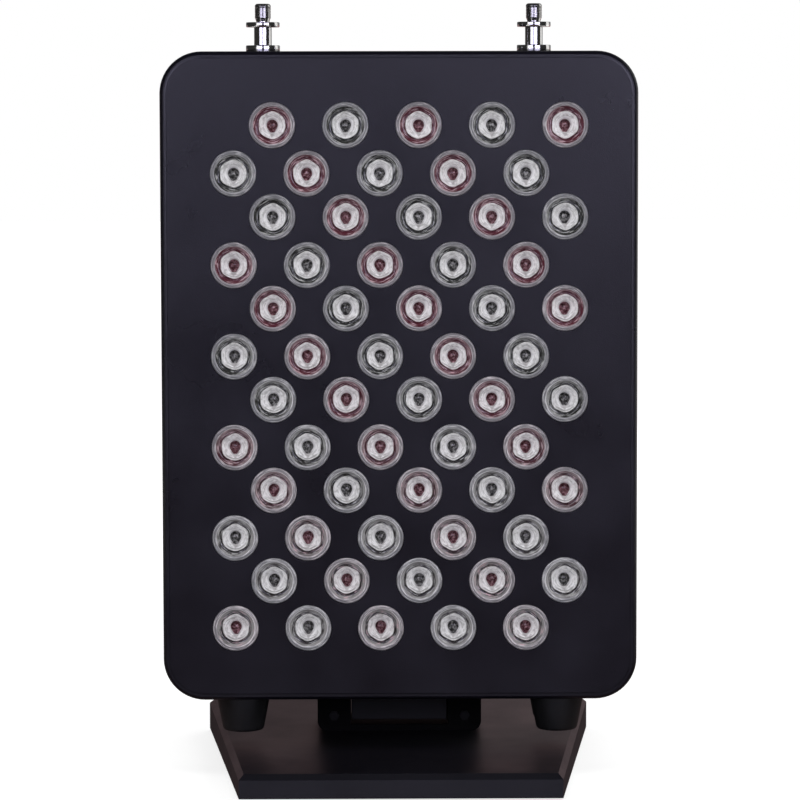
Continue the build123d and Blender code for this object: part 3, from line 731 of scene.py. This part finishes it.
# Pieces
def lens_places():
    """Centres of the lenses on the face, each with a mark for a red emitter."""
    field = (LENS_ROWS / 2 - 1) * LENS_PAIR_PITCH + LENS_EVEN_DROP
    places = []
    for row in range(LENS_ROWS):
        lower = row % 2
        z = case_mid.z + field / 2 - (row // 2) * LENS_PAIR_PITCH - lower * LENS_EVEN_DROP
        shift = LENS_ROW_SHIFT * (1 - 2 * lower)
        red_start = 0 if row % 4 in RED_FIRST_ROWS else 1
        for column in range(LENS_COLUMNS):
            x = (column - (LENS_COLUMNS - 1) / 2) * LENS_COLUMN_PITCH + shift
            places.append((x, z, column % 2 == red_start))
    return places


def rounded(bm, edges, width, segments):
    """Round edges of a bmesh."""
    bmesh.ops.bevel(
        bm,
        geom=edges,
        offset=width,
        offset_type="OFFSET",
        segments=segments,
        affect="EDGES",
        profile=0.5,
        material=-1,
    )


def lens_cutters():
    """One cylinder for each lens opening."""
    cutters = bmesh.new()
    radius = LENS_RADIUS + LENS_HOLE_GAP
    for x, z, _ in lens_places():
        bmesh.ops.create_cone(
            cutters,
            cap_ends=True,
            segments=HOLE_STEPS,
            radius1=radius,
            radius2=radius,
            depth=CUTTER_DEPTH,
            matrix=Matrix.Translation((x, face_y, z)) @ Matrix.Rotation(pi / 2, 4, "X"),
        )
    return linked("case_cutters", mesh_of("case_cutters", cutters))


def case_shell():
    """The case, bent from one sheet, with round openings for the lenses."""
    bm = bmesh.new()
    bmesh.ops.create_cube(bm, size=1)
    bmesh.ops.scale(bm, vec=case_high - case_low, verts=bm.verts)
    bmesh.ops.translate(bm, vec=case_mid, verts=bm.verts)
    corners = [e for e in bm.edges if abs(e.verts[0].co.y - e.verts[1].co.y) > CASE_CORNER]
    rounded(bm, corners, CASE_CORNER, CASE_CORNER_STEPS)
    rear = [face for face in bm.faces if face.normal.y > FACING]
    bmesh.ops.delete(bm, geom=rear, context="FACES_ONLY")
    rim = [e for e in bm.edges if all(abs(v.co.y - face_y) < CASE_FLAT for v in e.verts)]
    rounded(bm, rim, CASE_BEND, CASE_BEND_STEPS)
    front = [face for face in bm.faces if face.normal.y < -FACING]
    bmesh.ops.inset_region(bm, faces=front, thickness=CASE_FLAT, depth=0)
    close_up(bm, MERGE)
    shell = finished(
        "case_shell", bm, "panel", [case_coat], CASE_SHARP, ["front_housing"]
    )
    cutter = lens_cutters()
    wall = shell.modifiers.new("wall", "SOLIDIFY")
    wall.thickness = CASE_WALL
    wall.offset = -1
    cut = shell.modifiers.new("openings", "BOOLEAN")
    cut.operation = "DIFFERENCE"
    cut.solver = "EXACT"
    cut.object = cutter
    apply_modifiers(shell)
    cutter_mesh = cutter.data
    bpy.data.objects.remove(cutter)
    bpy.data.meshes.remove(cutter_mesh)
    smooth(shell, CASE_SHARP)
    keep_flat(shell, keep_sharp=True)
    apply_modifiers(shell)


def one_lens():
    """The mesh of one lens round the Y axis, with one material slot for each section."""
    unit = bmesh.new()
    sections = (LENS_RIM, LENS_STEP, LENS_GROOVE, LENS_BOWL, LENS_EYE, LENS_BACK)
    for slot, outline in enumerate(sections):
        turned(unit, in_metres(outline), (0, 0, 0), (0, 1, 0), LENS_STEPS, slot)
    close_up(unit)
    return mesh_of("one_lens", unit)


def lens_optics(name, is_red, finishes, node):
    """Clear rim, coloured groove, lobed bowl and drop-shaped eye of every lens of one colour."""
    bm = bmesh.new()
    lens = one_lens()
    lens_front = bm.loops.layers.uv.new(LENS_MAP)
    for count, (x, z, red) in enumerate(lens_places()):
        if red != is_red:
            continue
        old = set(bm.verts)
        bm.from_mesh(lens)
        added = [v for v in bm.verts if v not in old]
        turn = LENS_TURN * count
        for loop in [loop for v in added for loop in v.link_loops]:
            spot = loop.vert.co / LENS_RADIUS
            loop[lens_front].uv = (0.5 + spot.x / 2, 0.5 + spot.z / 2)
        for v in added:
            radius = hypot(v.co.x, v.co.z)
            angle = atan2(v.co.z, v.co.x)
            if LOBED_RADII[0] < radius < LOBED_RADII[1]:
                uneven = UNEVEN_SHARE * cos(UNEVEN_LOBES * angle - 2 * turn)
                rise = LOBE_DEPTH * (uneven - cos(LOBES * angle))
                v.co.x *= 1 + rise
                v.co.z *= 1 + rise
            if DROP_RADII[0] < radius < DROP_RADII[1] and v.co.z < 0 and v.co.y < DROP_DEPTH:
                v.co.z *= 1 + DROP_SHARE * abs(sin(angle)) ** DROP_POWER
        bmesh.ops.translate(bm, vec=(x, face_y, z), verts=added)
    bpy.data.meshes.remove(lens)
    finished(name, bm, "panel", finishes, LENS_SHARP, [node])


def hanging_studs():
    """Turned studs, polished up to the neck, with a dull grooved thread."""
    foot = studs_low.z + STUD_ROOT * MM
    thread = [
        (radius, THREAD_BASE + ring * THREAD_PITCH + height)
        for ring in range(THREAD_RINGS)
        for radius, height in THREAD_PROFILE
    ]
    outline = in_metres(STUD_BODY + thread + STUD_TIP)
    bm = bmesh.new()
    for side in (-1, 1):
        centre = (side * STUD_X, studs_mid_y, foot)
        for face in turned(bm, outline, centre, (0, 0, 1), STUD_STEPS):
            face.material_index = int(face.calc_center_median().z > foot + THREAD_BASE * MM)
    close_up(bm)
    steels = [polished_stainless, dull_stainless]
    finished("hanging_studs_turned", bm, "panel", steels, TURNED_SHARP, ["hanging_studs"])


def button_screws(name, material, spots, seat, head, height, shank, reach, stands_for=()):
    """Button head screws on the back of the panel, each with a hexagon socket."""
    outline = [(0, -reach), (shank, -reach), (shank, 0)]
    outline += [(across * head, up * height) for across, up in HEAD_SHARES]
    bm = bmesh.new()
    for x, z in spots:
        old = set(bm.verts)
        turned(bm, outline, (x, seat, z), (0, 1, 0), HEAD_STEPS)
        for v in [v for v in bm.verts if v not in old]:
            across, up = v.co.x - x, v.co.z - z
            share = hypot(across, up) / head
            if SOCKET_SHARES[0] < share < SOCKET_SHARES[1] and v.co.y > seat:
                turn = atan2(up, across) % SOCKET_SIDE - SOCKET_SIDE / 2
                flat = cos(SOCKET_SIDE / 2) / cos(turn)
                v.co.x = x + across * flat
                v.co.z = z + up * flat
    close_up(bm)
    finished(name, bm, "panel", [material], TURNED_SHARP, stands_for)


def panel_feet():
    """Tapered rubber feet with a rounded sole and a screw recess."""
    bm = bmesh.new()
    for side in (-1, 1):
        for setback in FOOT_SETBACKS:
            centre = (side * FOOT_X, face_y + setback, feet_low.z)
            turned(bm, in_metres(FOOT_OUTLINE), centre, (0, 0, 1), FOOT_STEPS)
    close_up(bm)
    finished("panel_feet_moulded", bm, "panel", [foot_rubber], FOOT_SHARP, ["panel_feet"])


def eased(node, body, material, width, segments=3):
    """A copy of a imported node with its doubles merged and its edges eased."""
    bm = bmesh.new()
    bm.from_mesh(nodes[node].data)
    bmesh.ops.remove_doubles(bm, verts=bm.verts, dist=NODE_MERGE)
    bmesh.ops.dissolve_limit(bm, angle_limit=FLAT_ANGLE, verts=bm.verts, edges=bm.edges)
    piece = finished(f"{node}_eased", bm, body, [material], pi, [node])
    ease = piece.modifiers.new("eased edges", "BEVEL")
    ease.width = width
    ease.segments = segments
    ease.limit_method = "ANGLE"
    ease.angle_limit = EASE_ANGLE
    ease.use_clamp_overlap = True
    keep_flat(piece)
    apply_modifiers(piece)


case_shell()
lens_optics("red_lens_optics", True, RED_LENS_FINISHES, "red_lenses")
lens_optics("infrared_lens_optics", False, INFRARED_LENS_FINISHES, "infrared_lenses")
hanging_studs()
panel_feet()
eased("hinge_yoke", "stand", yoke_coat, width=0.6 * MM)
eased("tilt_arm", "panel", arm_coat, width=0.6 * MM)
eased("base_shell", "stand", base_coat, width=0.45 * MM)
eased("back_cover", "panel", case_coat, width=0.25 * MM, segments=2)
button_screws(
    "arm_screws_socketed",
    polished_stainless,
    ARM_SCREWS,
    seat=ARM_PLATE_Y,
    head=3.6 * MM,
    height=1.8 * MM,
    shank=1.5 * MM,
    reach=8.2 * MM,
    stands_for=["arm_screws"],
)
button_screws(
    "cover_screws_socketed",
    black_oxide,
    COVER_SCREWS,
    seat=COVER_Y,
    head=3.6 * MM,
    height=1.8 * MM,
    shank=1.5 * MM,
    reach=5.4 * MM,
    stands_for=["cover_screws"],
)
button_screws(
    "fan_screws_socketed",
    black_oxide,
    FAN_SCREWS,
    seat=COVER_Y,
    head=2.9 * MM,
    height=1.5 * MM,
    shank=1.2 * MM,
    reach=0.6 * MM,
)
eased("power_inlet", "panel", black_moulding, width=0.3 * MM, segments=2)
eased("switch_bodies", "panel", black_moulding, width=0.3 * MM, segments=2)
eased("rocker_red", "red_switch", rocker_gloss, width=0.4 * MM)
eased("rocker_infrared", "infrared_switch", rocker_gloss, width=0.4 * MM)


# Studio, in metres
FLOOR_HALF = 8
FLOOR_DROP = 0.2 * MM
FLOOR_FADE = (0.2, 1.4)
FLOOR_GLOW = (0.72, 1.0)
WORLD_SEEN = 1.0
WORLD_LIGHT = 0.30
LAMP_TARGET = (0, 0, 0.25)

# Cards: name, first lower corner, width, height, turn from +X, tip and colour
UPRIGHT = 0
LYING = pi / 2
CARDS = [
    ("back_card_left", (-1.4, 0.9, 0), 1.4, 0.36, 0, UPRIGHT, (0.280, 0.193, 0.198)),
    ("back_card_right", (0, 0.9, 0), 1.4, 0.36, 0, UPRIGHT, (0.390, 0.272, 0.277)),
    ("upper_card_left", (-1.4, 0.9, 0.36), 1.4, 1.34, 0, UPRIGHT, (0.06, 0.06, 0.062)),
    ("upper_card_right", (0, 0.9, 0.36), 1.4, 1.34, 0, UPRIGHT, (0.24, 0.24, 0.245)),
    ("ceiling_card", (-1.6, 1.6, 1.75), 3.2, 4.0, 0, LYING, (0.03, 0.03, 0.034)),
    ("front_card", (-1.9, -2.4, 0), 3.8, 1.9, 0, UPRIGHT, (0.012, 0.012, 0.014)),
    ("table_card", (-0.9, 0.9, 0.4 * MM), 1.8, 3.3, 0, LYING, (0.085, 0.060, 0.060)),
    ("table_strip", (-0.16, -0.10, 0.6 * MM), 0.32, 0.07, 0, LYING, (0.30, 0.29, 0.36)),
    ("left_card", (-1.2, 1.6, 0), 2.8, 1.6, radians(-90), UPRIGHT, (0.03, 0.03, 0.03)),
    ("left_window", (-1.55, -2.0, 0.33), 1.29, 0.66, 0, UPRIGHT, (3.2, 3.1, 4.35)),
    ("right_window", (0.28, -2.0, 0.33), 1.27, 0.66, 0, UPRIGHT, (4.2, 4.05, 5.6)),
    ("right_card", (0.95, -1.1, 0), 1.2, 1.6, radians(70), UPRIGHT, (0.03, 0.03, 0.03)),
]

# Lamps: name, place, place they look at, width, height and power in watts
LAMPS = [
    ("left_box", (-1.25, -0.85, 0.65), LAMP_TARGET, 0.5, 0.9, 7),
    ("right_box", (1.25, -0.85, 0.65), LAMP_TARGET, 0.5, 0.9, 8),
    ("top_box", (0, -0.85, 1.0), (0, -0.06, 0.3), 0.8, 0.35, 3.5),
    ("back_box", (0.55, 1.5, 0.8), (0, 0, 0.2), 0.9, 0.9, 7),
]


def emission(name, colour):
    """A plain glowing material for the studio."""
    material = bpy.data.materials.new(name)
    material.use_nodes = True
    tree = material.node_tree
    tree.nodes.clear()
    glow = tree.nodes.new("ShaderNodeEmission")
    glow.inputs["Color"].default_value = (*colour, 1)
    output = tree.nodes.new("ShaderNodeOutputMaterial")
    tree.links.new(glow.outputs["Emission"], output.inputs["Surface"])
    return material


def background_ray(tree):
    """One where a ray comes from the camera, a reflection or a refraction."""
    path = tree.nodes.new("ShaderNodeLightPath").outputs
    seen = mathed(tree, "MAXIMUM", path["Is Camera Ray"], path["Is Glossy Ray"])
    return mathed(tree, "MAXIMUM", seen, path["Is Transmission Ray"])


def studio_world():
    """White behind everything, and a softer grey as light."""
    world = bpy.data.worlds.new("studio")
    world.use_nodes = True
    tree = world.node_tree
    tree.nodes.clear()
    mix = tree.nodes.new("ShaderNodeMixShader")
    tree.links.new(background_ray(tree), mix.inputs["Fac"])
    for place, strength in enumerate((WORLD_LIGHT, WORLD_SEEN), start=1):
        backdrop = tree.nodes.new("ShaderNodeBackground")
        backdrop.inputs["Color"].default_value = (*WHITE, 1)
        backdrop.inputs["Strength"].default_value = strength
        tree.links.new(backdrop.outputs["Background"], mix.inputs[place])
    output = tree.nodes.new("ShaderNodeOutputWorld")
    tree.links.new(mix.outputs["Shader"], output.inputs["Surface"])
    bpy.context.scene.world = world


def studio_floor():
    """A pale floor that keeps the shadow and shows as white."""
    bm = bmesh.new()
    bmesh.ops.create_grid(bm, x_segments=1, y_segments=1, size=FLOOR_HALF)
    bmesh.ops.translate(bm, vec=(0, 0, -FLOOR_DROP), verts=bm.verts)
    floor = linked("floor", mesh_of("floor", bm))
    material, tree, shader = finish("floor_paper", (0.6, 0.6, 0.6), roughness=0.9, specular=0.0)
    place = tree.nodes.new("ShaderNodeTexCoord").outputs["Object"]
    reach = vector_step(tree, "LENGTH", place)["Value"]
    fade = between(tree, reach, *FLOOR_FADE, *FLOOR_GLOW, easing="LINEAR")
    glow = tree.nodes.new("ShaderNodeEmission")
    glow.inputs["Color"].default_value = (*WHITE, 1)
    tree.links.new(times(tree, background_ray(tree), fade), glow.inputs["Strength"])
    total = tree.nodes.new("ShaderNodeAddShader")
    tree.links.new(shader.outputs["BSDF"], total.inputs[0])
    tree.links.new(glow.outputs["Emission"], total.inputs[1])
    tree.links.new(total.outputs["Shader"], tree.nodes["Material Output"].inputs["Surface"])
    floor.data.materials.append(material)


def card(name, corner, width, height, turn, tip, colour):
    """A card that only reflections see. It runs from its corner along +X and up, first tipped over
    towards -Y and then turned round its corner."""
    bm = bmesh.new()
    bmesh.ops.create_grid(bm, x_segments=1, y_segments=1, size=0.5)
    bmesh.ops.transform(
        bm,
        matrix=Matrix.Translation(corner)
        @ Matrix.Rotation(turn, 4, "Z")
        @ Matrix.Rotation(tip, 4, "X")
        @ Matrix.Diagonal((width, 1, height, 1))
        @ Matrix.Translation((0.5, 0, 0.5))
        @ Matrix.Rotation(pi / 2, 4, "X"),
        verts=bm.verts,
    )
    panel = linked(name, mesh_of(name, bm))
    panel.data.materials.append(emission(name, colour))
    panel.visible_camera = False
    panel.visible_diffuse = False
    panel.visible_shadow = False


def soft_box(name, place, target, width, height, power):
    """A rectangular lamp that looks at a target and doesn't show in reflections."""
    light = bpy.data.lights.new(name, "AREA")
    light.shape = "RECTANGLE"
    light.size = width
    light.size_y = height
    light.energy = power
    lamp = linked(name, light)
    lamp.location = place
    aim = Vector(target) - Vector(place)
    lamp.rotation_euler = aim.to_track_quat("-Z", "Y").to_euler()
    lamp.visible_glossy = False


studio_world()
studio_floor()
for row in CARDS:
    card(*row)
for row in LAMPS:
    soft_box(*row)

camera_data = bpy.data.cameras.new("camera")
camera_data.lens = CAMERA_LENS
camera_data.sensor_width = CAMERA_SENSOR
camera = linked("camera", camera_data)
camera.matrix_world = (
    Matrix.Translation(CAMERA_PLACE)
    @ Matrix.Rotation(-CAMERA_TURN, 4, "Z")
    @ Matrix.Rotation(pi / 2 - CAMERA_PITCH, 4, "X")
    @ Matrix.Rotation(-CAMERA_ROLL, 4, "Z")
)
bpy.context.scene.camera = camera
bpy.context.scene.view_settings.view_transform = "Standard"
